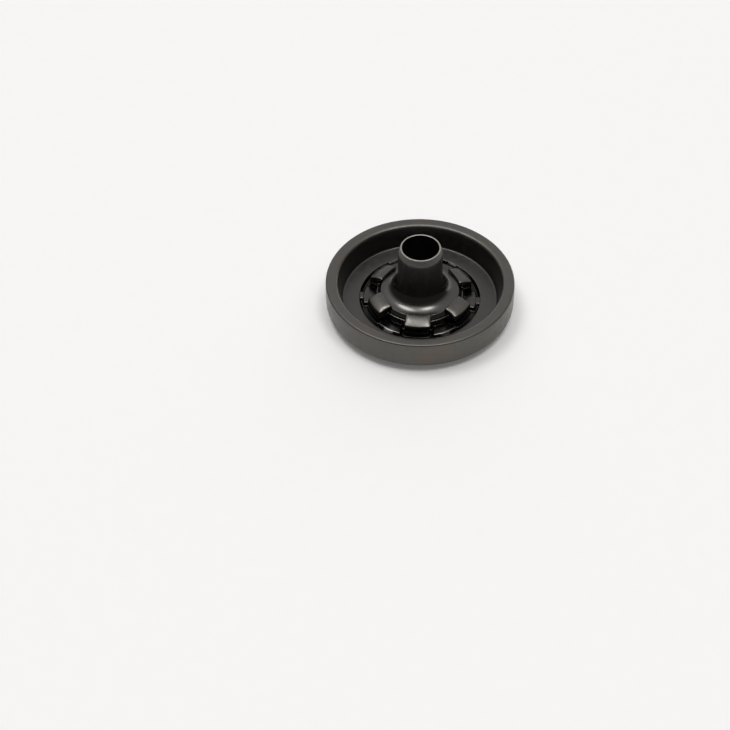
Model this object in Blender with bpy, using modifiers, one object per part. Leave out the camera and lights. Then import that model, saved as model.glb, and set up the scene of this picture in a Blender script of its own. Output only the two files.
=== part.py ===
"""Cap of a snap fastener with its hollow post, lying on its face with the post up.

Two pieces make it. The cap is one zinc die casting: a flat face with a wide chamfer, a drafted
rim wall, a ledge, a round groove and a raised seat. Six prongs stand in the groove against the
seat. Between them six low webs fill it up to a narrow slot, which a bridge on each web crosses.
The post is drawn from thin brass sheet: a tube with a tapered end, flared out into a flange with
a rounded shoulder. The flange sits on the seat, and the prongs are staked inwards over its
shoulder, which holds the post.

Units are metres and +Z is up. The origin is the middle of the cap's face.
"""

import math

import bmesh
import bpy

MM = 0.001

# Cap, turned form
CAP_DIAMETER = 15.0 * MM
CAP_HEIGHT = 2.76 * MM            # from the face to the top of the rim
CHAMFER_WIDTH = 1.38 * MM         # round the face, measured along the radius
CHAMFER_HEIGHT = 0.54 * MM
RIM_WIDTH = 0.98 * MM             # across the top of the rim wall
RIM_DRAFT = 0.34 * MM             # how much thicker the rim wall is at its foot
LEDGE_THICKNESS = 0.94 * MM       # metal between the face and the ledge
FLOOR_THICKNESS = 0.60 * MM       # metal between the face and the groove's floor
SEAT_THICKNESS = 1.42 * MM        # metal between the face and the top of the seat
GROOVE_DRAFT = 0.08 * MM          # how much the groove widens towards its mouth
RIM_EDGE_RADIUS = 0.16 * MM       # outer edge of the rim
RIM_INNER_EDGE_RADIUS = 0.30 * MM
FACE_EDGE_RADIUS = 0.50 * MM      # soft bends either side of the chamfer
INNER_FILLET = 0.16 * MM
SEAT_EDGE_RADIUS = 0.10 * MM      # round the seat and the mouth of the groove

# Hollow post, drawn from sheet
SHEET = 0.30 * MM
TUBE_DIAMETER = 3.52 * MM         # outside the tube
POST_LENGTH = 4.72 * MM           # from under the flange to the lip
FLANGE_DIAMETER = 6.70 * MM
FLANGE_SHOULDER_RADIUS = 0.28 * MM  # round the top of the flange, where the prongs press
FLARE_RADIUS = 1.25 * MM          # hollow bend between the tube and the flange
TAPER_LENGTH = 0.52 * MM          # tapered end that starts the mating piece
LIP_WALL = 0.12 * MM              # wall left at the lip
FLANGE_EDGE_RADIUS = 0.04 * MM    # round the underside of the flange
TAPER_BEND_RADIUS = 0.90 * MM
LIP_EDGE_RADIUS = 0.05 * MM

# Prongs, staked over the flange, and the webs between them
PRONG_COUNT = 6
FIRST_PRONG_ANGLE = -95.0         # degrees from +X, the prong nearest the viewer
PRONG_WIDTH = 2.06 * MM           # at its outer face
PRONG_TIP_WIDTH = 1.90 * MM
PRONG_THICKNESS = 0.83 * MM       # of the standing part, along the radius
PRONG_REACH = 0.26 * MM           # how far the tip lies over the flange
PRONG_TIP_THICKNESS = 0.26 * MM
PRONG_TIP_TOP_RADIUS = 0.17 * MM
PRONG_TIP_UNDER_RADIUS = 0.05 * MM
PRONG_TOP_FALL = 0.22 * MM        # how far the top falls from the tip to the outer face
PRONG_BEND_RADIUS = 0.42 * MM
PRONG_EDGE_RADIUS = 0.09 * MM     # of the webs too
PRONG_ARC_STEPS = 6               # facets across a prong, which follows the ring
WEB_HEIGHT = 0.31 * MM            # above the groove's floor
WEB_SLOT = 0.17 * MM              # between a web and the foot of the groove's outer wall
BRIDGE_WIDTH = 0.82 * MM          # of the narrow part that crosses the slot
ROOT_DEPTH = 0.15 * MM            # how deep prongs and webs are rooted in the casting

# Fits between the two pieces and round the prongs
SEAT_GAP = 0.02 * MM              # flange to seat, and flange to prong
FLANGE_SIDE_GAP = 0.10 * MM       # edge of the flange to the standing prongs
SEAT_MARGIN = 0.12 * MM           # how far the seat stands out round the flange
GROOVE_CLEARANCE = 0.46 * MM      # prongs to the foot of the groove's outer wall
WEB_CLEARANCE = 0.274 * MM        # prong to web, measured round the web's outer side

TURN_STEPS = 72
ARC_STEP = math.radians(22.5)     # finest turn of a rounded corner's facets
ARC_ROOM = 0.98                   # share of a side that the arcs at its ends may take
FLAT_ANGLE = math.radians(1)      # faces that meet at less count as one
SHARP_ANGLE = math.radians(50)    # edges of prongs and webs that turn by more are rounded
WELD_DISTANCE = 0.001 * MM

# Radii and heights that follow from the sizes above
cap_radius = CAP_DIAMETER / 2
face_radius = cap_radius - CHAMFER_WIDTH
rim_inner_radius = cap_radius - RIM_WIDTH
wall_foot_radius = rim_inner_radius - RIM_DRAFT
tube_radius = TUBE_DIAMETER / 2
bore_radius = tube_radius - SHEET
flange_radius = FLANGE_DIAMETER / 2
seat_radius = flange_radius + SEAT_MARGIN
prong_inner_radius = flange_radius + FLANGE_SIDE_GAP
prong_outer_radius = prong_inner_radius + PRONG_THICKNESS
prong_tip_radius = flange_radius - PRONG_REACH
groove_foot_radius = prong_outer_radius + GROOVE_CLEARANCE
groove_mouth_radius = groove_foot_radius + GROOVE_DRAFT
web_outer_radius = groove_foot_radius - WEB_SLOT
prong_half_turn = math.asin(PRONG_WIDTH / 2 / prong_outer_radius)
web_half_turn = math.pi / PRONG_COUNT - prong_half_turn - WEB_CLEARANCE / web_outer_radius
flange_under = SEAT_THICKNESS + SEAT_GAP
flange_top = flange_under + SHEET
prong_under = flange_top + SEAT_GAP
lip_height = flange_under + POST_LENGTH


def arc_points(centre, radius, start, turn):
    """Points along an arc of the profile plane, both ends included."""
    count = max(1, math.ceil(abs(turn) / ARC_STEP))
    angles = [start + turn * i / count for i in range(count + 1)]
    return [(centre[0] + radius * math.cos(a), centre[1] + radius * math.sin(a)) for a in angles]


def turn_at(before, corner, after):
    """By how much the outline turns at a corner, to the left as a positive angle."""
    into = (corner[0] - before[0], corner[1] - before[1])
    out = (after[0] - corner[0], after[1] - corner[1])
    return math.atan2(into[0] * out[1] - into[1] * out[0], into[0] * out[0] + into[1] * out[1])


def round_corner(before, corner, turn, set_back):
    """The corner as an arc that leaves the side before it at the given distance from it."""
    length = math.dist(before[:2], corner[:2])
    into = ((corner[0] - before[0]) / length, (corner[1] - before[1]) / length)
    radius = set_back / math.tan(abs(turn) / 2)
    side = math.copysign(1, turn)
    first = (corner[0] - into[0] * set_back, corner[1] - into[1] * set_back)
    centre = (first[0] - side * into[1] * radius, first[1] + side * into[0] * radius)
    start = math.atan2(first[1] - centre[1], first[0] - centre[0])
    return arc_points(centre, radius, start, turn)


def outline(corners, closed):
    """A profile from (x, z, corner radius) corners. The ends of an open one stay sharp.

    Where the arcs at the ends of a side would take more than the side has, they share it.
    """
    count = len(corners)
    turns = [turn_at(corners[i - 1], corners[i], corners[(i + 1) % count]) for i in range(count)]
    wanted = [corner[2] * math.tan(abs(turn) / 2) for corner, turn in zip(corners, turns)]
    if not closed:
        wanted[0] = wanted[-1] = 0
    points = []
    for i, corner in enumerate(corners):
        if wanted[i] == 0:
            points.append(corner[:2])
            continue
        share = 1
        for j in (i - 1, (i + 1) % count):
            room = ARC_ROOM * math.dist(corner[:2], corners[j][:2])
            share = min(share, room / (wanted[i] + wanted[j]))
        points.extend(round_corner(corners[i - 1], corner, turns[i], share * wanted[i]))
    return points


def new_collection(name):
    collection = bpy.data.collections.new(name)
    bpy.context.scene.collection.children.link(collection)
    return collection


def plated_metal(name, colour, roughness):
    material = bpy.data.materials.new(name)
    material.use_nodes = True
    shader = material.node_tree.nodes["Principled BSDF"]
    shader.inputs["Base Color"].default_value = (*colour, 1.0)
    shader.inputs["Metallic"].default_value = 1.0
    shader.inputs["Roughness"].default_value = roughness
    material.diffuse_color = (*colour, 1.0)
    return material


def turned(name, profile, closed, collection, material):
    """A piece turned about Z from its profile, which runs down its outer side."""
    mesh = bpy.data.meshes.new(name)
    count = len(profile)
    edges = [(i, i + 1) for i in range(count - 1)]
    if closed:
        edges.append((count - 1, 0))
    mesh.from_pydata([(x, 0.0, z) for x, z in profile], edges, [])
    mesh.materials.append(material)
    piece = bpy.data.objects.new(name, mesh)
    collection.objects.link(piece)
    screw = piece.modifiers.new("turn", 'SCREW')
    screw.axis = 'Z'
    screw.angle = math.tau
    screw.steps = TURN_STEPS
    screw.render_steps = TURN_STEPS
    screw.use_merge_vertices = True
    screw.merge_threshold = WELD_DISTANCE
    screw.use_smooth_shade = True
    return piece


def cap_profile():
    """From the middle of the seat, out over the groove, ledge and rim, and back under the face."""
    corners = [
        (0.0, SEAT_THICKNESS, 0),
        (seat_radius, SEAT_THICKNESS, SEAT_EDGE_RADIUS),
        (seat_radius, FLOOR_THICKNESS, INNER_FILLET),
        (groove_foot_radius, FLOOR_THICKNESS, INNER_FILLET),
        (groove_mouth_radius, LEDGE_THICKNESS, SEAT_EDGE_RADIUS),
        (wall_foot_radius, LEDGE_THICKNESS, INNER_FILLET),
        (rim_inner_radius, CAP_HEIGHT, RIM_INNER_EDGE_RADIUS),
        (cap_radius, CAP_HEIGHT, RIM_EDGE_RADIUS),
        (cap_radius, CHAMFER_HEIGHT, FACE_EDGE_RADIUS),
        (face_radius, 0.0, FACE_EDGE_RADIUS),
        (0.0, 0.0, 0),
    ]
    return outline(corners, closed=False)


def post_profile():
    """Down the outside of the tube, out round the flange, and back up through the bore."""
    corners = [
        (bore_radius + LIP_WALL, lip_height, LIP_EDGE_RADIUS),
        (tube_radius, lip_height - TAPER_LENGTH, TAPER_BEND_RADIUS),
        (tube_radius, flange_top, FLARE_RADIUS),
        (flange_radius, flange_top, FLANGE_SHOULDER_RADIUS),
        (flange_radius, flange_under, FLANGE_EDGE_RADIUS),
        (bore_radius, flange_under, FLARE_RADIUS + SHEET),
        (bore_radius, lip_height, LIP_EDGE_RADIUS),
    ]
    return outline(corners, closed=True)


def prong_outline():
    """Side view of a prong: up out of the seat's wall, in over the flange, and down its outside."""
    root = FLOOR_THICKNESS - ROOT_DEPTH
    root_top = SEAT_THICKNESS - ROOT_DEPTH
    tip_top = prong_under + PRONG_TIP_THICKNESS
    corners = [
        (seat_radius - ROOT_DEPTH, root, 0),
        (seat_radius - ROOT_DEPTH, root_top, 0),
        (prong_inner_radius, root_top, 0),
        (prong_inner_radius, prong_under, FLANGE_SHOULDER_RADIUS + SEAT_GAP),
        (prong_tip_radius, prong_under, PRONG_TIP_UNDER_RADIUS),
        (prong_tip_radius, tip_top, PRONG_TIP_TOP_RADIUS),
        (prong_outer_radius, tip_top - PRONG_TOP_FALL, PRONG_BEND_RADIUS),
        (prong_outer_radius, root, 0),
    ]
    return outline(corners, closed=True)


def prong_mesh():
    """One prong standing at +X, curved about the cap's axis and narrower towards its tip."""
    curve = bpy.data.curves.new("prong_outline", 'CURVE')
    curve.dimensions = '2D'
    curve.fill_mode = 'BOTH'
    curve.extrude = PRONG_WIDTH / 2
    points = prong_outline()
    spline = curve.splines.new('POLY')
    spline.points.add(len(points) - 1)
    for point, (x, z) in zip(spline.points, points):
        point.co = (x, z, 0.0, 1.0)
    spline.use_cyclic_u = True
    blank = bpy.data.objects.new("prong_blank", curve)
    blank.rotation_euler.x = math.radians(90)
    bpy.context.scene.collection.objects.link(blank)
    bpy.context.view_layer.update()
    depsgraph = bpy.context.evaluated_depsgraph_get()
    mesh = bpy.data.meshes.new_from_object(blank.evaluated_get(depsgraph))
    mesh.transform(blank.matrix_world)
    bpy.data.objects.remove(blank)
    mesh.name = "prong"

    bm = bmesh.new()
    bm.from_mesh(mesh)
    bmesh.ops.remove_doubles(bm, verts=bm.verts, dist=WELD_DISTANCE)
    bmesh.ops.dissolve_limit(bm, angle_limit=FLAT_ANGLE, verts=bm.verts, edges=bm.edges)
    across = [edge for edge in bm.edges if edge.verts[0].co.y * edge.verts[1].co.y < 0]
    bmesh.ops.subdivide_edges(bm, edges=across, cuts=PRONG_ARC_STEPS - 1, use_grid_fill=True)
    narrowing = 1 - PRONG_TIP_WIDTH / PRONG_WIDTH
    for vertex in bm.verts:
        radius = vertex.co.x
        towards_tip = (prong_outer_radius - radius) / (prong_outer_radius - prong_tip_radius)
        vertex.co.y *= 1 - narrowing * towards_tip
        vertex.co.x = math.sqrt(radius ** 2 - vertex.co.y ** 2)
    bmesh.ops.recalc_face_normals(bm, faces=bm.faces)
    bm.to_mesh(mesh)
    bm.free()
    return mesh


def web_mesh():
    """One low web lying along +X: a sector of the ring, with its bridge to the groove's outer wall."""
    inner = seat_radius - ROOT_DEPTH
    bridge_end = groove_mouth_radius + ROOT_DEPTH
    root = FLOOR_THICKNESS - ROOT_DEPTH
    bridge_turn = math.asin(BRIDGE_WIDTH / 2 / web_outer_radius)
    side_turn = web_half_turn - bridge_turn
    plan = [
        (inner * math.cos(web_half_turn), -inner * math.sin(web_half_turn)),
        *arc_points((0, 0), web_outer_radius, -web_half_turn, side_turn),
        (bridge_end, -BRIDGE_WIDTH / 2),
        (bridge_end, BRIDGE_WIDTH / 2),
        *arc_points((0, 0), web_outer_radius, bridge_turn, side_turn),
        (inner * math.cos(web_half_turn), inner * math.sin(web_half_turn)),
    ]
    mesh = bpy.data.meshes.new("web")
    bm = bmesh.new()
    base = bm.faces.new([bm.verts.new((x, y, root)) for x, y in plan])
    raised = bmesh.ops.extrude_face_region(bm, geom=[base])["geom"]
    top = [part for part in raised if isinstance(part, bmesh.types.BMVert)]
    bmesh.ops.translate(bm, vec=(0.0, 0.0, ROOT_DEPTH + WEB_HEIGHT), verts=top)
    bmesh.ops.recalc_face_normals(bm, faces=bm.faces)
    bm.to_mesh(mesh)
    bm.free()
    return mesh


def set_round(mesh, first_angle, construction):
    """Equal copies of a mesh round the axis, with rounded edges, as tools for the casting."""
    for i in range(PRONG_COUNT):
        tool = bpy.data.objects.new(f"{mesh.name}_{i + 1}", mesh)
        tool.rotation_euler.z = math.radians(first_angle) + math.tau * i / PRONG_COUNT
        tool.hide_render = True
        tool.display_type = 'WIRE'
        construction.objects.link(tool)
        bevel = tool.modifiers.new("rounded_edges", 'BEVEL')
        bevel.width = PRONG_EDGE_RADIUS
        bevel.segments = 2
        bevel.limit_method = 'ANGLE'
        bevel.angle_limit = SHARP_ANGLE


def cast_on(cap, construction):
    """Casts the prongs and webs onto the turned form of the cap."""
    union = cap.modifiers.new("prongs_and_webs", 'BOOLEAN')
    union.operation = 'UNION'
    union.solver = 'EXACT'
    union.operand_type = 'COLLECTION'
    union.collection = construction


for old in list(bpy.data.objects):
    bpy.data.objects.remove(old)

fastener = new_collection("snap_fastener_cap")
construction = new_collection("construction")
gunmetal = plated_metal("gunmetal_plated_zinc", (0.10, 0.095, 0.09), 0.42)
gunmetal_brass = plated_metal("gunmetal_plated_brass", (0.08, 0.077, 0.074), 0.36)

cap = turned("cap", cap_profile(), False, fastener, gunmetal)
set_round(prong_mesh(), FIRST_PRONG_ANGLE, construction)
set_round(web_mesh(), FIRST_PRONG_ANGLE + 180 / PRONG_COUNT, construction)
cast_on(cap, construction)
turned("hollow_post", post_profile(), True, fastener, gunmetal_brass)
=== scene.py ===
import math

import bmesh
import bpy
from mathutils import Matrix, Vector


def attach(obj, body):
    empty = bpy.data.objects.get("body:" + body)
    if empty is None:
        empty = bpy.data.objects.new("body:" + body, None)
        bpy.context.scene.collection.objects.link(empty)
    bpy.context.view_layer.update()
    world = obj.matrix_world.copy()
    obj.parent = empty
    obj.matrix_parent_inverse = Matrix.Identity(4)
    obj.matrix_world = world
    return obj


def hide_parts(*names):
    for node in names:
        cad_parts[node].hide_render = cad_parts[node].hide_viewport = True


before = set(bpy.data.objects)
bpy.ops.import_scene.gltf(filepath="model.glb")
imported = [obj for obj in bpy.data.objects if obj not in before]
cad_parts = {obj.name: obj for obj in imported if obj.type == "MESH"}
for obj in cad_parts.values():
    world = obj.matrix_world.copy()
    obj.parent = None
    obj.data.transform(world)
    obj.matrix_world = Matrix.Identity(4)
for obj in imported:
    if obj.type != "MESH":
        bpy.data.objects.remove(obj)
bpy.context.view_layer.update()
print("frame loaded")

mm = 0.001


def hexToLinear(hexColour):
    # sRGB hex, as picked from a colour chart, to the linear colour a shader wants
    parts = [int(hexColour[i:i + 2], 16) / 255 for i in (1, 3, 5)]
    return tuple(c / 12.92 if c <= 0.04045 else ((c + 0.055) / 1.055) ** 2.4 for c in parts) + (1.0,)


def addNode(tree, kind, settings=None, values=None, links=None):
    # settings go on the node, values on its inputs, links join an input to another node's output
    node = tree.nodes.new(kind)
    for name, value in (settings or {}).items():
        setattr(node, name, value)
    for name, value in (values or {}).items():
        node.inputs[name].default_value = value
    for name, source in (links or {}).items():
        tree.links.new(source, node.inputs[name])
    return node


# camera, at the photograph's angle and framing

cameraSetup = {
    "elevation": 45.13,            # degrees above the floor, looking along +Y
    "roll": -0.70,                 # degrees
    "distance": 148.22 * mm,       # along the view, from the lens to the middle of the cap's face
    "framePixels": 730,
    "focalPixels": 1848,
    "originPixel": (419.6, 305.3),  # where the middle of the cap's face falls
    "sensor": 36,
    "nearest": 1 * mm,             # what lies nearer or further away isn't drawn
    "furthest": 20,
}


def buildCamera(setup):
    tilt = math.radians(setup["elevation"])
    roll = math.radians(setup["roll"])
    back = Vector((0, -math.cos(tilt), math.sin(tilt)))
    levelRight = Vector((1, 0, 0))
    levelUp = Vector((0, math.sin(tilt), math.cos(tilt)))
    right = math.cos(roll) * levelRight + math.sin(roll) * levelUp
    up = math.cos(roll) * levelUp - math.sin(roll) * levelRight
    middle = setup["framePixels"] / 2
    perPixel = setup["distance"] / setup["focalPixels"]
    across = (setup["originPixel"][0] - middle) * perPixel
    rise = (middle - setup["originPixel"][1]) * perPixel
    data = bpy.data.cameras.new("photoCamera")
    data.sensor_width = setup["sensor"]
    data.lens = setup["sensor"] * setup["focalPixels"] / setup["framePixels"]
    data.clip_start = setup["nearest"]
    data.clip_end = setup["furthest"]
    camera = bpy.data.objects.new("photoCamera", data)
    turn = Matrix((right, up, back)).transposed().to_4x4()
    place = setup["distance"] * back - across * right - rise * up
    camera.matrix_world = Matrix.Translation(place) @ turn
    bpy.context.scene.collection.objects.link(camera)
    bpy.context.scene.camera = camera


buildCamera(cameraSetup)
print("camera placed")


# modelling helpers: everything is deselected, then faces or edges are picked by where they are

slack = 0.01 * mm                  # a point this close to a place is at it
turnSlack = 0.01                   # the same for a turn round the axis, in radians
wallSlack = 0.03 * mm              # the same for the middle of a flat face or edge on a round wall
clearance = 0.05 * mm              # a point this far above a surface is clear of its rounded edges
weld = 0.002 * mm                  # points closer than this are merged
levelNormal = 0.9                  # a face whose normal has this much of Z is level
slopeNormal = 0.3                  # and with this much it still faces up


def selectOnly(piece):
    bpy.ops.object.select_all(action='DESELECT')
    bpy.context.view_layer.objects.active = piece
    piece.select_set(True)


def beginEdit(piece, mode):
    selectOnly(piece)
    bpy.ops.object.mode_set(mode='EDIT')
    bpy.ops.mesh.select_mode(type=mode)
    bpy.ops.mesh.select_all(action='DESELECT')


def endEdit():
    bpy.ops.object.mode_set(mode='OBJECT')


def pick(piece, kind, test):
    # kind is verts, edges or faces; what passes the test is selected and nothing else
    bpy.ops.mesh.select_mode(type={"verts": 'VERT', "edges": 'EDGE', "faces": 'FACE'}[kind])
    bpy.ops.mesh.select_all(action='DESELECT')
    cage = bmesh.from_edit_mesh(piece.data)
    found = [part for part in getattr(cage, kind) if test(part)]
    for part in found:
        part.select_set(True)
    if kind == "verts":
        cage.select_flush(True)
    bmesh.update_edit_mesh(piece.data)
    if not found:
        print("nothing picked on", piece.name)


def radiusOf(point):
    return math.hypot(point.x, point.y)


def near(value, place, within=slack):
    return abs(value - place) < within


def onRing(vertex, radius, height):
    return near(radiusOf(vertex.co), radius) and near(vertex.co.z, height)


def ringEdge(radius, height):
    return lambda edge: all(onRing(vertex, radius, height) for vertex in edge.verts)


def stepDisc(now, radius, height):
    # the selected disc is extruded, scaled to the new radius and moved to the new height
    bpy.ops.mesh.extrude_region_move(TRANSFORM_OT_translate={"value": (0, 0, height - now[1])})
    scale = radius / now[0]
    bpy.ops.transform.resize(value=(scale, scale, 1), center_override=(0, 0, height))
    return radius, height


def roundRing(piece, radius, height, corner, segments):
    # a turned corner gets its radius: the bevel is set back by the tangent of half its turn
    pick(piece, "edges", ringEdge(radius, height))
    cage = bmesh.from_edit_mesh(piece.data)
    turn = max(edge.calc_face_angle(0) for edge in cage.edges if edge.select)
    bpy.ops.mesh.bevel(offset=corner * math.tan(turn / 2), segments=segments, affect='EDGES')


def layRow(piece, row, radius, height, halfWidth):
    # a row of points across a prong goes to one place along it, at one width, still curved round the axis
    pick(piece, "verts", lambda vertex: vertex.index in row)
    cage = bmesh.from_edit_mesh(piece.data)
    now = [vertex.co for vertex in cage.verts if vertex.select]
    scale = (radius / max(point.x for point in now), halfWidth / max(point.y for point in now), 0)
    bpy.ops.transform.resize(value=scale, center_override=(0, 0, height))


# cap: one zinc casting, turned form first, then one sixth with its prong, then six of those

capSizes = {
    "steps": 72,                   # of the turning, all the way round
    "radius": 7.5 * mm,
    "height": 2.76 * mm,
    "faceRadius": 6.12 * mm,
    "chamferHeight": 0.54 * mm,
    "rimInnerRadius": 6.52 * mm,
    "wallFootRadius": 6.18 * mm,
    "ledgeHeight": 0.94 * mm,
    "grooveMouthRadius": 4.82 * mm,
    "grooveFootRadius": 4.74 * mm,
    "floorHeight": 0.60 * mm,
    # the webs fill the groove between the prongs up to a slot, which a bridge on each of them crosses
    "webRadius": 4.57 * mm,
    "webHalfWidth": 1.00 * mm,
    "webCornerRadius": 4.55 * mm,  # its outer corners are cut back to this
    "webShoulder": ((0.11 * mm, 0.06 * mm), (0.17 * mm, 0.075 * mm)),  # steps in and up its outer edge
    "webDip": 0.08 * mm,           # how far their top falls from there in to the seat
    "webHalfSteps": 2,             # of the turning's steps, either side of the web's middle
    "bridgeHeight": 0.865 * mm,
    "bridgeHalfSteps": 1,
    "sunkBridge": 0.25 * mm,       # how far one of the bridges falls away at the groove's wall
    "sunkReach": 1.6,              # in steps from its middle, to the end of its rounded corners
    "seatRadius": 3.47 * mm,
    "seatHeight": 1.42 * mm,
    "poleRadius": 0.8 * mm,
    # radii of its corners and widths of its rounded edges
    "rimEdge": 0.16 * mm,
    "rimInnerEdge": 0.34 * mm,
    "faceEdge": 0.50 * mm,
    "wallFillet": 0.16 * mm,
    "mouthEdge": 0.02 * mm,
    "castEdge": 0.09 * mm,
    "hollowEdge": 0.02 * mm,
    "cornerSegments": 3,
    "smoothing": 2,
}

prongSizes = {
    "count": 6,
    "firstAngle": -95.0,           # degrees, the prong nearest the camera
    "halfSteps": 3,                # of the turning's steps, either side of the prong's middle
    "outerRadius": 4.28 * mm,
    "rootTop": 1.30 * mm,          # a ring of points at mid height, on the prong and on the seat's wall
    "halfWidth": 1.03 * mm,        # at the outer face
    "bendRadius": 0.12 * mm,
    "bendWall": 0.83 * mm,         # of metal between its outer face and its underside, at the bend
    "tipRadius": 3.09 * mm,
    "tipHalfWidth": 0.95 * mm,
    "tipTop": 2.02 * mm,
    "tipRound": 0.08 * mm,         # how far back the tip's top edge is hammered round
    "topTilts": (4, 29),           # degrees, at the tip and where the crowned top meets the bend
    "under": 1.76 * mm,            # height of the tip's underside, just over the flange
    "gripRadius": 0.32 * mm,       # the underside follows the flange's shoulder
    "sideFall": 0.05 * mm,         # hammered flat, its top falls off at both sides
    "sideFallFrom": 0.2 * mm,      # in from the outer face
    "sidePoints": 0.95,            # of its half width, past which a point lies at the side
    "longEdge": 0.12 * mm,
    "tipEdge": 0.05 * mm,
    "sharpAngle": 35,              # degrees between faces, above which an edge is rounded
    # each prong: further in, further down, pushed sideways, slewed in degrees, and how much wider
    "nudges": (
        (-0.04 * mm, 0.00 * mm, 0.05 * mm, 0.0, 1.02),
        (0.01 * mm, 0.00 * mm, -0.03 * mm, 4.0, 0.99),
        (-0.02 * mm, 0.01 * mm, 0.02 * mm, -1.0, 1.00),
        (0.00 * mm, 0.00 * mm, 0.03 * mm, 0.0, 1.02),
        (0.03 * mm, 0.01 * mm, -0.02 * mm, 2.5, 1.02),
        (0.05 * mm, 0.00 * mm, 0.02 * mm, -1.0, 0.98),
    ),
}


def prongTop(prong):
    # the crowned top is an arc: its radius, its tilts, and the place where it meets the bend
    tipTilt, bendTilt = (math.radians(tilt) for tilt in prong["topTilts"])
    across = prong["outerRadius"] - prong["bendRadius"] * (1 - math.sin(bendTilt))
    length = across - prong["tipRadius"] - prong["tipRound"]
    radius = length / (math.sin(bendTilt) - math.sin(tipTilt))
    fall = radius * (math.cos(tipTilt) - math.cos(bendTilt))
    return radius, tipTilt, bendTilt, (across, prong["tipTop"] - fall)


def webTopAt(radius, sizes):
    # height of the webs' top, which dips towards the seat
    share = (sizes["webRadius"] - radius) / (sizes["webRadius"] - sizes["seatRadius"])
    return sizes["ledgeHeight"] - share * sizes["webDip"]


def webShoulderPoints(sizes):
    # the webs' rounded outer edge, from the bridge's level up to their top
    foot = (sizes["webRadius"], sizes["bridgeHeight"])
    return [foot] + [(foot[0] - inwards, foot[1] + up) for inwards, up in sizes["webShoulder"]]


def buildCapTurning(sizes, prong):
    bpy.ops.object.select_all(action='DESELECT')
    bpy.ops.mesh.primitive_cylinder_add(vertices=sizes["steps"], radius=sizes["radius"],
                                        depth=sizes["height"], location=(0, 0, sizes["height"] / 2))
    cap = bpy.context.object
    cap.name = "castCap"
    bpy.ops.object.transform_apply()
    beginEdit(cap, 'FACE')
    # the dished back, from the rim in to the middle of the seat, with the groove still full of metal
    pick(cap, "faces", lambda face: face.normal.z > levelNormal)
    now = (sizes["radius"], sizes["height"])
    for radius, height in (
        (sizes["rimInnerRadius"], sizes["height"]),
        (sizes["wallFootRadius"], sizes["ledgeHeight"]),
        (sizes["grooveMouthRadius"], sizes["ledgeHeight"]),
        (sizes["grooveMouthRadius"], sizes["bridgeHeight"]),
        *webShoulderPoints(sizes),
        (prong["outerRadius"], webTopAt(prong["outerRadius"], sizes)),
        (sizes["seatRadius"], webTopAt(sizes["seatRadius"], sizes)),
        (sizes["seatRadius"], prong["rootTop"]),
        (sizes["seatRadius"], sizes["seatHeight"]),
        (sizes["poleRadius"], sizes["seatHeight"]),
    ):
        now = stepDisc(now, radius, height)
    bpy.ops.mesh.poke()
    # the front, face down: chamfer and flat face
    pick(cap, "faces", lambda face: face.normal.z < -levelNormal)
    bpy.ops.transform.translate(value=(0, 0, sizes["chamferHeight"]))
    now = (sizes["radius"], sizes["chamferHeight"])
    now = stepDisc(now, sizes["faceRadius"], 0)
    now = stepDisc(now, sizes["poleRadius"], 0)
    bpy.ops.mesh.poke()
    endEdit()
    return cap


def keepSixth(cap, count):
    # two cuts through the axis leave the sixth of the casting that lies round +X
    half = math.pi / count
    for side in (-1, 1):
        beginEdit(cap, 'FACE')
        bpy.ops.mesh.select_all(action='SELECT')
        across = (-math.sin(half), side * math.cos(half), 0)
        bpy.ops.mesh.bisect(plane_co=(0, 0, 0), plane_no=across, clear_outer=True, threshold=weld)
        endEdit()


def roundCapCorners(cap, sizes):
    beginEdit(cap, 'EDGE')
    for radius, height, corner in (
        ("radius", "height", "rimEdge"),
        ("rimInnerRadius", "height", "rimInnerEdge"),
        ("wallFootRadius", "ledgeHeight", "wallFillet"),
        ("radius", "chamferHeight", "faceEdge"),
    ):
        roundRing(cap, sizes[radius], sizes[height], sizes[corner], sizes["cornerSegments"])
    roundRing(cap, sizes["faceRadius"], 0, sizes["faceEdge"], sizes["cornerSegments"])
    endEdit()


def prongHalfWidth(radius, prong):
    share = (radius - prong["tipRadius"]) / (prong["outerRadius"] - prong["tipRadius"])
    return prong["tipHalfWidth"] + share * (prong["halfWidth"] - prong["tipHalfWidth"])


def prongStations(sizes, prong):
    # pairs of places (radius, height) along the prong: on its outer side, and on the side with the flange
    radius, tipTilt, bendTilt, meeting = prongTop(prong)
    bend = prong["bendRadius"]
    bendCentre = (prong["outerRadius"] - bend, meeting[1] - bend * math.cos(bendTilt))
    outer = [(prong["outerRadius"], prong["rootTop"]), (prong["outerRadius"], bendCentre[1])]
    for share in (0.5, 1):
        turn = share * (math.pi / 2 - bendTilt)
        outer.append((bendCentre[0] + bend * math.cos(turn), bendCentre[1] + bend * math.sin(turn)))
    for share in (0.25, 0.5, 0.75, 1):
        tilt = bendTilt + share * (tipTilt - bendTilt)
        outer.append((meeting[0] - radius * (math.sin(bendTilt) - math.sin(tilt)),
                      meeting[1] + radius * (math.cos(tilt) - math.cos(bendTilt))))
    outer.append((prong["tipRadius"], prong["tipTop"] - prong["tipRound"]))
    grip = prong["gripRadius"]
    gripCentre = (prong["outerRadius"] - prong["bendWall"] - grip, prong["under"] - grip)
    inner = [(sizes["seatRadius"], prong["rootTop"]), (sizes["seatRadius"], sizes["seatHeight"])]
    for turn in (math.radians(angle) for angle in (15, 30, 45, 60, 75, 90)):
        inner.append((gripCentre[0] + grip * math.cos(turn), gripCentre[1] + grip * math.sin(turn)))
    inner.append((prong["tipRadius"], prong["under"]))
    return zip(outer, inner)


def sector(point):
    # how far round a point lies from the middle of the sixth
    return abs(math.atan2(point.y, point.x))


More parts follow.
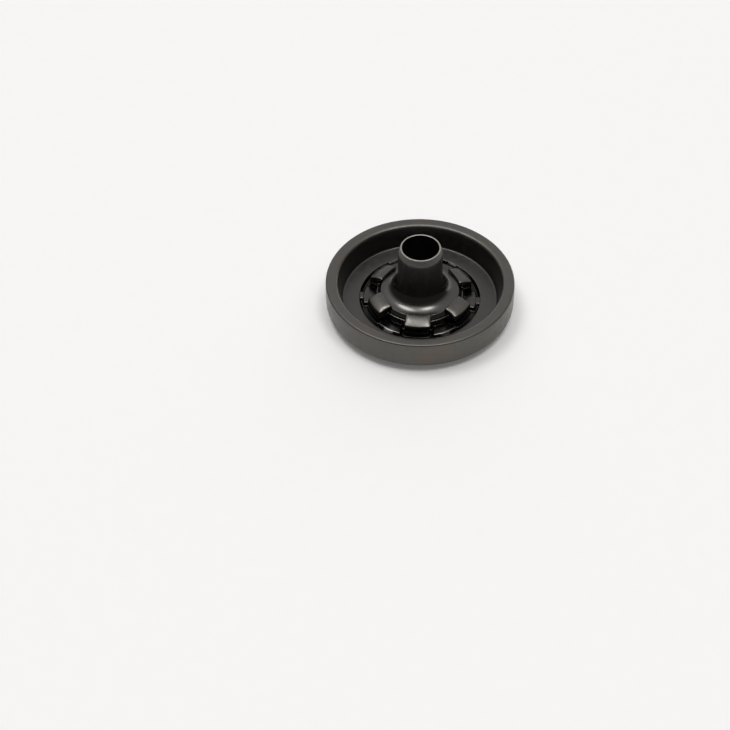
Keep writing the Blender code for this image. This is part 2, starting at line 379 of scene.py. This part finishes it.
def raiseProng(cap, sizes, prong):
    # the metal beside the seat is drawn up past the flange and then bent in over it
    half = math.radians(prong["halfSteps"] * 360 / sizes["steps"])
    seat, outer = sizes["seatRadius"], prong["outerRadius"]
    beginEdit(cap, 'FACE')

    # its foot is set to the prong's width before it is raised
    for radius in (seat, outer):
        pick(cap, "verts", lambda vertex: near(radiusOf(vertex.co), radius)
             and near(sector(vertex.co), half, turnSlack))
        wider = prongHalfWidth(radius, prong) / (radius * math.sin(half))
        bpy.ops.transform.resize(value=(1, wider, 1), center_override=(0, 0, 0))

    def isProngFoot(face):
        middle = face.calc_center_median()
        low = middle.z < sizes["seatHeight"] and face.normal.z > levelNormal
        return seat < radiusOf(middle) < outer and low and sector(middle) < half

    pick(cap, "faces", isProngFoot)
    for upper, lower in prongStations(sizes, prong):
        bpy.ops.mesh.extrude_region_move(TRANSFORM_OT_translate={"value": (0, 0, 0)})
        cage = bmesh.from_edit_mesh(cap.data)
        cage.verts.index_update()
        moved = [vertex for vertex in cage.verts if vertex.select]
        moved.sort(key=lambda vertex: radiusOf(vertex.co) + vertex.co.z)
        lowerRow = {vertex.index for vertex in moved[:len(moved) // 2]}
        upperRow = {vertex.index for vertex in moved[len(moved) // 2:]}
        layRow(cap, lowerRow, *lower, prongHalfWidth(lower[0], prong))
        layRow(cap, upperRow, *upper, prongHalfWidth(upper[0], prong))
        if upper[0] < outer - prong["sideFallFrom"]:
            side = prong["sidePoints"] * prongHalfWidth(upper[0], prong)
            pick(cap, "verts", lambda vertex: vertex.index in upperRow and abs(vertex.co.y) > side)
            bpy.ops.transform.translate(value=(0, 0, -prong["sideFall"]))
        pick(cap, "verts", lambda vertex: vertex.index in lowerRow or vertex.index in upperRow)
        bpy.ops.mesh.select_mode(type='FACE')

    # where it stands against the seat the two are one metal: both walls go and their edges are joined
    def isInnerWall(face):
        middle = face.calc_center_median()
        between = webTopAt(seat, sizes) < middle.z < sizes["seatHeight"]
        return near(radiusOf(middle), seat, wallSlack) and between and sector(middle) < half

    pick(cap, "faces", isInnerWall)
    bpy.ops.mesh.delete(type='FACE')
    bpy.ops.mesh.select_all(action='SELECT')
    bpy.ops.mesh.remove_doubles(threshold=weld)
    endEdit()


def sinkGroove(cap, sizes, prong):
    # the groove goes down to its floor all round the prong and along the slot, and leaves the web
    step = math.radians(360 / sizes["steps"])
    webEdge = math.pi / prong["count"] - sizes["webHalfSteps"] * step
    bridgeEdge = math.pi / prong["count"] - sizes["bridgeHalfSteps"] * step
    webTurn = math.pi / prong["count"] - math.asin(sizes["webHalfWidth"] / sizes["webRadius"])
    seat, web, mouth = sizes["seatRadius"], sizes["webRadius"], sizes["grooveMouthRadius"]
    beginEdit(cap, 'VERT')

    def isWebSide(vertex, inner, turn):
        outside = inner + slack < radiusOf(vertex.co) < web + slack
        return outside and near(sector(vertex.co), turn, turnSlack) and vertex.co.z < sizes["seatHeight"]

    # the web's sides are turned towards the prong until it has its width, then its corners are cut back
    pick(cap, "verts", lambda vertex: isWebSide(vertex, seat, webEdge))
    turned = (math.cos(webTurn) / math.cos(webEdge), math.sin(webTurn) / math.sin(webEdge), 1)
    bpy.ops.transform.resize(value=turned, center_override=(0, 0, 0))
    pick(cap, "verts", lambda vertex: isWebSide(vertex, prong["outerRadius"], webTurn))
    cut = sizes["webCornerRadius"] / web
    bpy.ops.transform.resize(value=(cut, cut, 1), center_override=(0, 0, 0))

    def isSunk(face):
        middle = face.calc_center_median()
        high = sizes["floorHeight"] < middle.z < sizes["ledgeHeight"] + slack and face.normal.z > slopeNormal
        edge = webEdge if radiusOf(middle) < web - slack else bridgeEdge
        return seat < radiusOf(middle) < mouth and high and sector(middle) < edge

    depth = sizes["ledgeHeight"] - sizes["floorHeight"]
    pick(cap, "faces", isSunk)
    bpy.ops.mesh.extrude_region_move(TRANSFORM_OT_translate={"value": (0, 0, -depth)})
    bpy.ops.transform.resize(value=(1, 1, 0), center_override=(0, 0, sizes["floorHeight"]))
    pick(cap, "verts", lambda vertex: onRing(vertex, mouth, sizes["floorHeight"]))
    scale = sizes["grooveFootRadius"] / mouth
    bpy.ops.transform.resize(value=(scale, scale, 1), center_override=(0, 0, 0))

    def isSharp(edge):
        middle = (edge.verts[0].co + edge.verts[1].co) / 2
        overFloor = any(vertex.co.z > sizes["floorHeight"] + slack for vertex in edge.verts)
        sharp = edge.calc_face_angle(0) > math.radians(prong["sharpAngle"])
        return sharp and overFloor and radiusOf(middle) < mouth - wallSlack

    # of Y in a face's normal: at least the first on a side of the prong, at most the second on its others
    sideNormal, otherNormal = 0.8, 0.5
    underNormal = -0.2             # of Z, and less than this on the underside
    sideSlack = 0.08 * mm          # the sides' edges lie no further than this from the prong's width

    def isLongEdge(edge):
        # between a side of the prong and its outer face, top or tip, but not its underside
        if not isSharp(edge) or not edge.is_convex:
            return False
        other, side = sorted(edge.link_faces, key=lambda face: abs(face.normal.y))
        atSide = all(near(abs(vertex.co.y), prongHalfWidth(vertex.co.x, prong), sideSlack)
                     for vertex in edge.verts)
        between = abs(side.normal.y) > sideNormal and abs(other.normal.y) < otherNormal
        return atSide and between and other.normal.z > underNormal

    # the order of an edge's ends differs from run to run, so these tests look at both
    def isHighEdge(edge):
        high = any(vertex.co.z > sizes["seatHeight"] + clearance for vertex in edge.verts)
        return isSharp(edge) and edge.is_convex and high

    def isLowEdge(edge):
        return isSharp(edge) and edge.is_convex and not isHighEdge(edge)

    def isHollowEdge(edge):
        inside = any(radiusOf(vertex.co) < web - wallSlack for vertex in edge.verts)
        return isSharp(edge) and not edge.is_convex and inside

    # the prong's long edges are hammered round, the others as round as castings are
    for test, corner, segments in (
        (isLongEdge, prong["longEdge"], 3),
        (isHighEdge, prong["tipEdge"], 2),
        (isLowEdge, sizes["castEdge"], 2),
        (isHollowEdge, sizes["hollowEdge"], 2),
    ):
        pick(cap, "edges", test)
        bpy.ops.mesh.bevel(offset=corner, segments=segments, affect='EDGES')
    pick(cap, "edges", ringEdge(mouth, sizes["ledgeHeight"]))
    bpy.ops.mesh.bevel(offset=sizes["mouthEdge"], segments=1, affect='EDGES')
    endEdit()


def repeatRound(cap, prong):
    # six sixths, joined where they meet, and turned so that the first prong faces the camera
    turn = 360 / prong["count"]
    beginEdit(cap, 'FACE')
    bpy.ops.mesh.select_all(action='SELECT')
    bpy.ops.mesh.spin(steps=prong["count"] - 1, dupli=True, angle=math.radians(360 - turn),
                      center=(0, 0, 0), axis=(0, 0, 1))
    bpy.ops.mesh.select_all(action='SELECT')
    bpy.ops.mesh.remove_doubles(threshold=weld)
    bpy.ops.mesh.normals_make_consistent(inside=False)
    endEdit()
    cap.rotation_euler.z = math.radians(prong["firstAngle"])
    bpy.ops.object.transform_apply(location=False, rotation=True, scale=False)


def nudgeProngs(cap, sizes, prong):
    # no two prongs were staked alike: each stands a little further in or down, or slews a little
    margin = 0.3 * mm              # more than a prong leans, and far short of its neighbours
    beginEdit(cap, 'VERT')
    for i, (inwards, down, sideways, slew, wider) in enumerate(prong["nudges"]):
        angle = math.radians(prong["firstAngle"] + i * 360 / prong["count"])
        out = Vector((math.cos(angle), math.sin(angle), 0))
        along = Vector((-out.y, out.x, 0))

        def isBentPart(vertex):
            high = vertex.co.z > sizes["seatHeight"] + clearance
            between = prong["tipRadius"] - margin < vertex.co.dot(out) < prong["outerRadius"] + margin
            return high and between and abs(vertex.co.dot(along)) < prong["halfWidth"] + margin

        pick(cap, "verts", isBentPart)
        move = sideways * along - inwards * out - Vector((0, 0, down))
        bpy.ops.transform.translate(value=move)
        middle = prong["tipRadius"] * out
        spread = [1 + (wider - 1) * abs(c) for c in along]
        bpy.ops.transform.resize(value=spread, center_override=middle)
        bpy.ops.transform.rotate(value=math.radians(slew), orient_axis='Z', center_override=middle)
    endEdit()


def sinkBridge(cap, sizes, prong):
    # on the web at the front right the bridge falls away to the groove's wall, and the slot runs on
    beginEdit(cap, 'VERT')
    angle = math.radians(prong["firstAngle"] + 180 / prong["count"])
    step = math.radians(360 / sizes["steps"])

    def isBridgeTop(vertex):
        turned = near(math.atan2(vertex.co.y, vertex.co.x), angle, sizes["sunkReach"] * step)
        atMouth = near(radiusOf(vertex.co), sizes["grooveMouthRadius"], wallSlack)
        high = sizes["floorHeight"] + clearance < vertex.co.z < sizes["bridgeHeight"] + slack
        return turned and atMouth and high

    pick(cap, "verts", isBridgeTop)
    bpy.ops.transform.translate(value=(0, 0, -sizes["sunkBridge"]))
    endEdit()


def smoothMesh(piece, levels):
    selectOnly(piece)
    smoothing = piece.modifiers.new("smoothing", 'SUBSURF')
    smoothing.levels = levels
    smoothing.render_levels = levels
    bpy.ops.object.modifier_apply(modifier=smoothing.name)
    bpy.ops.object.shade_smooth()


cap = buildCapTurning(capSizes, prongSizes)
keepSixth(cap, prongSizes["count"])
roundCapCorners(cap, capSizes)
raiseProng(cap, capSizes, prongSizes)
sinkGroove(cap, capSizes, prongSizes)
repeatRound(cap, prongSizes)
nudgeProngs(cap, capSizes, prongSizes)
sinkBridge(cap, capSizes, prongSizes)
smoothMesh(cap, capSizes["smoothing"])
print("cap cast:", len(cap.data.polygons), "faces")


# hollow post: drawn from brass sheet in one piece, tube, flare and flange

postSizes = {
    "steps": 72,
    "sheet": 0.30 * mm,
    "tubeRadius": 1.76 * mm,
    "lipHeight": 6.16 * mm,
    "lipWall": 0.12 * mm,          # what is left of the sheet at the lip
    "lipEdge": 0.04 * mm,
    "taperLength": 0.52 * mm,
    "taperBend": 0.90 * mm,        # radius between the tube and its tapered end
    "flareRadius": 1.25 * mm,
    "flareSteps": 5,
    "flangeTop": 1.74 * mm,
    "flangeRadius": 3.35 * mm,
    "flangeShoulder": 0.25 * mm,   # its edge is pressed down to a cone between two tight bends
    "flangeBend": 0.05 * mm,
    "flangeEdge": 0.02 * mm,
    "cornerSegments": 3,
    "smoothing": 2,
}


def quarterArc(centre, radius, start, steps):
    # points of a quarter turn in the profile, in degrees from the outward direction
    angles = [math.radians(start + 90 * i / steps) for i in range(steps + 1)]
    return [(centre[0] + radius * math.cos(a), centre[1] + radius * math.sin(a)) for a in angles]


def postProfile(sizes):
    # down the outside from the lip, out over the flange, back under it and up the bore
    tube = sizes["tubeRadius"]
    bore = tube - sizes["sheet"]
    top = sizes["flangeTop"]
    under = top - sizes["sheet"]
    bendCentre = (tube + sizes["flareRadius"], top + sizes["flareRadius"])
    outside = quarterArc(bendCentre, sizes["flareRadius"], 180, sizes["flareSteps"])
    inside = quarterArc(bendCentre, sizes["flareRadius"] + sizes["sheet"], 180, sizes["flareSteps"])
    shoulder = sizes["lipHeight"] - sizes["taperLength"]
    return [
        (bore + sizes["lipWall"], sizes["lipHeight"]),
        (tube, shoulder),
        *outside,
        (sizes["flangeRadius"], top),
        (sizes["flangeRadius"], under),
        *reversed(inside),
        (bore, shoulder),
        (bore, sizes["lipHeight"]),
    ]


def buildPost(sizes):
    profile = postProfile(sizes)
    bpy.ops.object.select_all(action='DESELECT')
    radius, height = profile[0]
    bpy.ops.mesh.primitive_circle_add(vertices=sizes["steps"], radius=radius, fill_type='NOTHING',
                                      location=(0, 0, height))
    post = bpy.context.object
    post.name = "drawnPost"
    bpy.ops.object.transform_apply()
    beginEdit(post, 'EDGE')
    bpy.ops.mesh.select_all(action='SELECT')
    for nextRadius, nextHeight in profile[1:]:
        bpy.ops.mesh.extrude_edges_move(TRANSFORM_OT_translate={"value": (0, 0, nextHeight - height)})
        scale = nextRadius / radius
        bpy.ops.transform.resize(value=(scale, scale, 1), center_override=(0, 0, nextHeight))
        radius, height = nextRadius, nextHeight
    # the last loop closes the lip
    pick(post, "edges", lambda edge: edge.is_boundary)
    bpy.ops.mesh.bridge_edge_loops()
    bpy.ops.mesh.select_all(action='SELECT')
    bpy.ops.mesh.normals_make_consistent(inside=False)
    bore = sizes["tubeRadius"] - sizes["sheet"]
    under = sizes["flangeTop"] - sizes["sheet"]
    shoulder = sizes["flangeShoulder"]
    pick(post, "edges", ringEdge(sizes["flangeRadius"], sizes["flangeTop"]))
    bpy.ops.mesh.bevel(offset=shoulder, segments=1, affect='EDGES')
    for ringRadius, ringHeight, corner in (
        (bore + sizes["lipWall"], sizes["lipHeight"], sizes["lipEdge"]),
        (bore, sizes["lipHeight"], sizes["lipEdge"]),
        (sizes["tubeRadius"], sizes["lipHeight"] - sizes["taperLength"], sizes["taperBend"]),
        (sizes["flangeRadius"] - shoulder, sizes["flangeTop"], sizes["flangeBend"]),
        (sizes["flangeRadius"], sizes["flangeTop"] - shoulder, sizes["flangeEdge"]),
        (sizes["flangeRadius"], under, sizes["flangeEdge"]),
    ):
        roundRing(post, ringRadius, ringHeight, corner, sizes["cornerSegments"])
    endEdit()
    return post


post = buildPost(postSizes)
smoothMesh(post, postSizes["smoothing"])
print("post drawn:", len(post.data.polygons), "faces")


# materials

zincFinish = {
    "colour": "#5f5d5a",           # black nickel plate, a warm dark grey
    "warmColour": "#665d54",       # where the plate is thin and the copper under it shows through
    "warmFrom": 0.50,              # of the noise, where it starts and where it is full
    "warmTo": 0.80,
    "patchSize": 2.4 * mm,
    "dishShadeColour": "#545250",       # painted shade down in the dish, inside the rim wall
    "dishRadius": 6.3 * mm,
    "dishHeight": 1.5 * mm,
    "dishBlend": 0.2 * mm,
    "grooveShadeColour": "#2d2c2b",     # painted shade at the bottom of the groove
    "grooveHeight": 0.66 * mm,
    "grooveBlend": 0.16 * mm,
    "castRoughness": 0.20,
    "blastedRoughness": 0.40,
    "blastedFrom": 4.79 * mm,      # the groove inside this radius keeps its cast skin
    "blastedTo": 4.91 * mm,
    "stakedRoughness": 0.30,
    "stakedFrom": 1.35 * mm,       # height on the prongs, where they start to be burnished
    "stakedTo": 1.75 * mm,
    "unevenness": 0.06,            # how far the roughness drifts either way
    "unevenSize": 0.4 * mm,
    "gritSize": 0.08 * mm,         # of the blasting, about as coarse as glass beads leave it
    "gritDepth": 0.003 * mm,
    "flowSize": 0.8 * mm,
    "flowDepth": 0.010 * mm,
}

brassFinish = {
    "colour": "#5b5957",           # the same plate over drawn brass
    "lipHighlightColour": "#aaa59d",       # painted highlight along the lip's top edge
    "lipHighlightFrom": 6.11 * mm,         # heights, here and below
    "lipHighlightTo": 6.15 * mm,
    "flareRoughness": 0.22,
    "drawnRoughness": 0.38,
    "drawnFrom": 2.3 * mm,
    "drawnTo": 2.8 * mm,
    "taperRoughness": 0.40,
    "taperFrom": 5.55 * mm,
    "taperTo": 5.75 * mm,
    "unevenness": 0.02,
    "unevenSize": 0.8 * mm,
    "drawLineWidth": 0.10 * mm,    # wider than real draw lines, so that they show
    "drawLineLength": 3.0 * mm,
    "drawLineDepth": 0.0003 * mm,
}


def newMetal(name):
    material = bpy.data.materials.new(name)
    material.use_nodes = True
    tree = material.node_tree
    shader = tree.nodes["Principled BSDF"]
    shader.inputs["Metallic"].default_value = 1
    place = addNode(tree, "ShaderNodeTexCoord").outputs["Object"]
    parts = addNode(tree, "ShaderNodeSeparateXYZ", links={0: place})
    return material, tree, shader, place, parts


def driftingRoughness(tree, place, kind, finish):
    # handling and plating leave no metal evenly rough, so it drifts a little either way
    noise = addNode(tree, "ShaderNodeTexNoise", links={"Vector": place},
                    values={"Scale": 1 / finish["unevenSize"], "Detail": 2.0})
    # nearly all of a noise lies between 0.3 and 0.7
    drift = addNode(tree, "ShaderNodeMapRange", links={"Value": noise.outputs["Fac"]},
                    values={"From Min": 0.3, "From Max": 0.7,
                            "To Min": -finish["unevenness"], "To Max": finish["unevenness"]})
    rough = addNode(tree, "ShaderNodeMath", {"operation": 'ADD'}, links={0: kind, 1: drift.outputs[0]})
    return rough.outputs[0]


def gunmetalPlatedZinc(finish):
    # bead-blasted zinc casting, plated black nickel: an even satin sheen without sparkle outside, and the
    # wetter gloss of the cast skin down in the groove, which the blasting doesn't reach
    material, tree, shader, place, parts = newMetal("gunmetalPlatedZinc")
    height = parts.outputs["Z"]
    flat = addNode(tree, "ShaderNodeVectorMath", {"operation": 'MULTIPLY'}, {1: (1, 1, 0)}, {0: place})
    length = addNode(tree, "ShaderNodeVectorMath", {"operation": 'LENGTH'}, links={0: flat.outputs[0]})
    radius = length.outputs["Value"]

    # colour drifts between two greys over a few millimetres
    patches = addNode(tree, "ShaderNodeTexNoise", links={"Vector": place},
                      values={"Scale": 1 / finish["patchSize"], "Detail": 3.0, "Roughness": 0.55})
    warmth = addNode(tree, "ShaderNodeMapRange", links={"Value": patches.outputs["Fac"]},
                     values={"From Min": finish["warmFrom"], "From Max": finish["warmTo"]})
    colour = addNode(tree, "ShaderNodeMix", {"data_type": 'RGBA'}, links={0: warmth.outputs[0]},
                     values={6: hexToLinear(finish["colour"]), 7: hexToLinear(finish["warmColour"])})
    # painted shade in the dish: inside the rim wall and below the prongs' tops, the colour is darker
    inside = addNode(tree, "ShaderNodeMapRange", links={"Value": radius},
                     values={"From Min": finish["dishRadius"],
                             "From Max": finish["dishRadius"] - finish["dishBlend"]})
    below = addNode(tree, "ShaderNodeMapRange", links={"Value": height},
                    values={"From Min": finish["dishHeight"] + finish["dishBlend"],
                            "From Max": finish["dishHeight"]})
    down = addNode(tree, "ShaderNodeMath", {"operation": 'MULTIPLY'},
                   links={0: inside.outputs[0], 1: below.outputs[0]})
    dishShaded = addNode(tree, "ShaderNodeMix", {"data_type": 'RGBA'},
                    links={0: down.outputs[0], 6: colour.outputs[2]},
                    values={7: hexToLinear(finish["dishShadeColour"])})
    # painted shade at the bottom of the groove, darker still
    bottom = addNode(tree, "ShaderNodeMapRange", links={"Value": height},
                     values={"From Min": finish["grooveHeight"] + finish["grooveBlend"],
                             "From Max": finish["grooveHeight"]})
    groove = addNode(tree, "ShaderNodeMath", {"operation": 'MULTIPLY'},
                     links={0: bottom.outputs[0], 1: inside.outputs[0]})
    grooveShaded = addNode(tree, "ShaderNodeMix", {"data_type": 'RGBA'},
                   links={0: groove.outputs[0], 6: dishShaded.outputs[2]},
                   values={7: hexToLinear(finish["grooveShadeColour"])})
    tree.links.new(grooveShaded.outputs[2], shader.inputs["Base Color"])

    # roughness: cast skin in the groove, burnished tops on the prongs, blasted everywhere else
    blasted = addNode(tree, "ShaderNodeMapRange", links={"Value": radius},
                      values={"From Min": finish["blastedFrom"], "From Max": finish["blastedTo"]})
    staked = addNode(tree, "ShaderNodeMapRange", links={"Value": height},
                     values={"From Min": finish["stakedFrom"], "From Max": finish["stakedTo"],
                             "To Min": finish["castRoughness"], "To Max": finish["stakedRoughness"]})
    kind = addNode(tree, "ShaderNodeMix", links={0: blasted.outputs[0], 2: staked.outputs[0]},
                   values={3: finish["blastedRoughness"]})
    rough = driftingRoughness(tree, place, kind.outputs[0], finish)
    tree.links.new(rough, shader.inputs["Roughness"])

    # bump: blasting grit outside the groove, and the slow ripples of a casting all over
    grit = addNode(tree, "ShaderNodeTexNoise", links={"Vector": place},
                   values={"Scale": 1 / finish["gritSize"], "Detail": 2.0})
    gritBump = addNode(tree, "ShaderNodeBump", values={"Distance": finish["gritDepth"]},
                       links={"Height": grit.outputs["Fac"], "Strength": blasted.outputs[0]})
    flow = addNode(tree, "ShaderNodeTexNoise", links={"Vector": place},
                   values={"Scale": 1 / finish["flowSize"], "Detail": 2.0})
    flowBump = addNode(tree, "ShaderNodeBump", values={"Strength": 1.0, "Distance": finish["flowDepth"]},
                       links={"Height": flow.outputs["Fac"], "Normal": gritBump.outputs[0]})
    tree.links.new(flowBump.outputs[0], shader.inputs["Normal"])
    return material


def gunmetalPlatedBrass(finish):
    # deep-drawn brass, plated black nickel: a glossy flare and flange, a satin tube with faint lines along
    # the draw, a matt rolled taper, and a lighter band along the lip's sharp edge, a painted highlight
    material, tree, shader, place, parts = newMetal("gunmetalPlatedBrass")
    height = parts.outputs["Z"]

    # the lighter band along the top of the lip is a painted highlight
    lipHighlight = addNode(tree, "ShaderNodeMapRange", links={"Value": height},
                   values={"From Min": finish["lipHighlightFrom"], "From Max": finish["lipHighlightTo"]})
    colour = addNode(tree, "ShaderNodeMix", {"data_type": 'RGBA'}, links={0: lipHighlight.outputs[0]},
                     values={6: hexToLinear(finish["colour"]), 7: hexToLinear(finish["lipHighlightColour"])})
    tree.links.new(colour.outputs[2], shader.inputs["Base Color"])

    # roughness: from the flare to the drawn tube, and from there to the taper
    drawn = addNode(tree, "ShaderNodeMapRange", links={"Value": height},
                    values={"From Min": finish["drawnFrom"], "From Max": finish["drawnTo"],
                            "To Min": finish["flareRoughness"], "To Max": finish["drawnRoughness"]})
    taper = addNode(tree, "ShaderNodeMapRange", links={"Value": height},
                    values={"From Min": finish["taperFrom"], "From Max": finish["taperTo"],
                            "To Min": 0.0, "To Max": finish["taperRoughness"] - finish["drawnRoughness"]})
    kind = addNode(tree, "ShaderNodeMath", {"operation": 'ADD'},
                   links={0: drawn.outputs[0], 1: taper.outputs[0]})
    rough = driftingRoughness(tree, place, kind.outputs[0], finish)
    tree.links.new(rough, shader.inputs["Roughness"])

    # draw lines run up the tube: the pattern is laid out on the unrolled wall and stretched along it
    turn = addNode(tree, "ShaderNodeMath", {"operation": 'ARCTAN2'},
                   links={0: parts.outputs["Y"], 1: parts.outputs["X"]})
    around = addNode(tree, "ShaderNodeMath", {"operation": 'MULTIPLY'}, links={0: turn.outputs[0]},
                     values={1: postSizes["tubeRadius"] / finish["drawLineWidth"]})
    along = addNode(tree, "ShaderNodeMath", {"operation": 'MULTIPLY'}, links={0: height},
                    values={1: 1 / finish["drawLineLength"]})
    unrolled = addNode(tree, "ShaderNodeCombineXYZ", links={"X": around.outputs[0], "Y": along.outputs[0]})
    lines = addNode(tree, "ShaderNodeTexNoise", links={"Vector": unrolled.outputs[0]},
                    values={"Scale": 1.0, "Detail": 2.0})
    lineBump = addNode(tree, "ShaderNodeBump", links={"Height": lines.outputs["Fac"]},
                       values={"Strength": 1.0, "Distance": finish["drawLineDepth"]})
    tree.links.new(lineBump.outputs[0], shader.inputs["Normal"])
    return material


cap.data.materials.append(gunmetalPlatedZinc(zincFinish))
post.data.materials.append(gunmetalPlatedBrass(brassFinish))
print("metals made")

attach(cap, "root")
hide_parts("cap")
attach(post, "root")
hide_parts("hollow_post")


# studio: pale paper, a lit room with one dark side, and two softboxes overhead

studio = {
    "floorWidth": 3.0,             # metres, like the softboxes' distances
    "paperColour": "#faf9f8",
    "paperGlow": 0.10,             # light that comes up through the paper
    "fibreShade": 0.97,            # how bright the darker fibres are beside the paper's colour
    "fibreSize": 1.2 * mm,
    # brightness of each part of the room, where white paper is 1
    "backWall": 0.61,
    "leftTop": 0.95,
    "ceiling": 1.5,
    "horizon": 1.6,                # low down behind the cap
    "darkSide": 0.08,              # in front and low at the left, where nothing is lit
    "pageWhite": 1.0,              # what the camera sees behind the paper
    # directions across the soft edges of the lit side and of the back wall
    "towardsLit": (0.17, 0.73, 1.49),
    "towardsBack": (0.25, 0.97, 0.0),
    # how far a look goes that way, or along X or Z, where each part starts and where it is full
    "edges": {
        "lit": (0.80, 1.45),
        "back": (0.67, 0.83),
        "left": (-0.15, -0.50),
        "low": (0.42, 0.15),
        "overhead": (0.89, 0.97),
    },
    # each softbox: direction, distance, half of its angle in degrees, brightness
    "softboxes": (
        ("leftSoftbox", (-0.29, 0.15, 0.945), 0.9, 10.5, 6.0),
        ("rightSoftbox", (0.22, -0.10, 0.97), 0.9, 9.5, 6.6),
    ),
}


def whitePaper(setup):
    # matt seamless paper: no gloss, only soft white light back, with fibres that are a trace darker
    material = bpy.data.materials.new("seamlessPaper")
    material.use_nodes = True
    tree = material.node_tree
    shader = tree.nodes["Principled BSDF"]
    shader.inputs["Roughness"].default_value = 1.0
    shader.inputs["Specular IOR Level"].default_value = 0.0
    place = addNode(tree, "ShaderNodeTexCoord").outputs["Object"]
    colour = hexToLinear(setup["paperColour"])
    darker = tuple(setup["fibreShade"] * c for c in colour[:3]) + (1.0,)
    fibre = addNode(tree, "ShaderNodeTexNoise", links={"Vector": place},
                    values={"Scale": 1 / setup["fibreSize"], "Detail": 3.0})
    tone = addNode(tree, "ShaderNodeMix", {"data_type": 'RGBA'}, links={0: fibre.outputs["Fac"]},
                   values={6: colour, 7: darker})
    tree.links.new(tone.outputs[2], shader.inputs["Base Color"])
    shader.inputs["Emission Color"].default_value = colour
    shader.inputs["Emission Strength"].default_value = setup["paperGlow"]
    return material


def buildStudio(setup):
    bpy.ops.object.select_all(action='DESELECT')
    bpy.ops.mesh.primitive_plane_add(size=setup["floorWidth"])
    studioFloor = bpy.context.object
    studioFloor.name = "studioFloor"
    studioFloor.data.materials.append(whitePaper(setup))

    for name, towards, distance, halfAngle, brightness in setup["softboxes"]:
        place = Vector(towards).normalized() * distance
        width = 2 * distance * math.tan(math.radians(halfAngle))
        bpy.ops.object.light_add(type='AREA', location=place)
        softbox = bpy.context.object
        softbox.name = name
        softbox.data.shape = 'DISK'
        softbox.data.size = width
        # a lamp's watts for this brightness: pi times the area of its disc
        softbox.data.energy = brightness * math.pi * math.pi * (width / 2) ** 2
        softbox.rotation_euler = place.to_track_quat('Z', 'Y').to_euler()


def buildRoom(setup):
    # a lit room that falls off softly to its dark side, as the metal mirrors it
    world = bpy.data.worlds.new("softRoom")
    bpy.context.scene.world = world
    world.use_nodes = True
    tree = world.node_tree
    sky = tree.nodes["Background"]
    sky.inputs["Color"].default_value = (1, 1, 1, 1)
    towards = addNode(tree, "ShaderNodeTexCoord").outputs["Generated"]
    parts = addNode(tree, "ShaderNodeSeparateXYZ", links={0: towards})
    toLit = addNode(tree, "ShaderNodeVectorMath", {"operation": 'DOT_PRODUCT'},
                    {1: setup["towardsLit"]}, {0: towards})
    toBack = addNode(tree, "ShaderNodeVectorMath", {"operation": 'DOT_PRODUCT'},
                     {1: setup["towardsBack"]}, {0: towards})
    share = {}
    for name, source in (
        ("lit", toLit.outputs["Value"]),
        ("back", toBack.outputs["Value"]),
        ("left", parts.outputs["X"]),
        ("low", parts.outputs["Z"]),
        ("overhead", parts.outputs["Z"]),
    ):
        start, full = setup["edges"][name]
        edge = addNode(tree, "ShaderNodeMapRange", {"interpolation_type": 'SMOOTHSTEP'},
                       {"From Min": start, "From Max": full}, {"Value": source})
        share[name] = edge.outputs[0]
    lit = addNode(tree, "ShaderNodeMath", {"operation": 'MAXIMUM'}, links={0: share["lit"], 1: share["back"]})
    lowBack = addNode(tree, "ShaderNodeMath", {"operation": 'MULTIPLY'},
                      links={0: share["low"], 1: share["back"]})
    bright = addNode(tree, "ShaderNodeMix", links={0: share["left"]},
                     values={2: setup["backWall"], 3: setup["leftTop"]})
    walls = addNode(tree, "ShaderNodeMix", links={0: lit.outputs[0], 3: bright.outputs[0]},
                    values={2: setup["darkSide"]})
    glow = addNode(tree, "ShaderNodeMix", links={0: lowBack.outputs[0], 2: walls.outputs[0]},
                   values={3: setup["horizon"]})
    room = addNode(tree, "ShaderNodeMix", links={0: share["overhead"], 2: glow.outputs[0]},
                   values={3: setup["ceiling"]})
    seen = addNode(tree, "ShaderNodeLightPath").outputs["Is Camera Ray"]
    shown = addNode(tree, "ShaderNodeMix", links={0: seen, 2: room.outputs[0]},
                    values={3: setup["pageWhite"]})
    tree.links.new(shown.outputs[0], sky.inputs["Strength"])


buildStudio(studio)
buildRoom(studio)
bpy.context.scene.view_settings.view_transform = 'Standard'
print("studio lit")
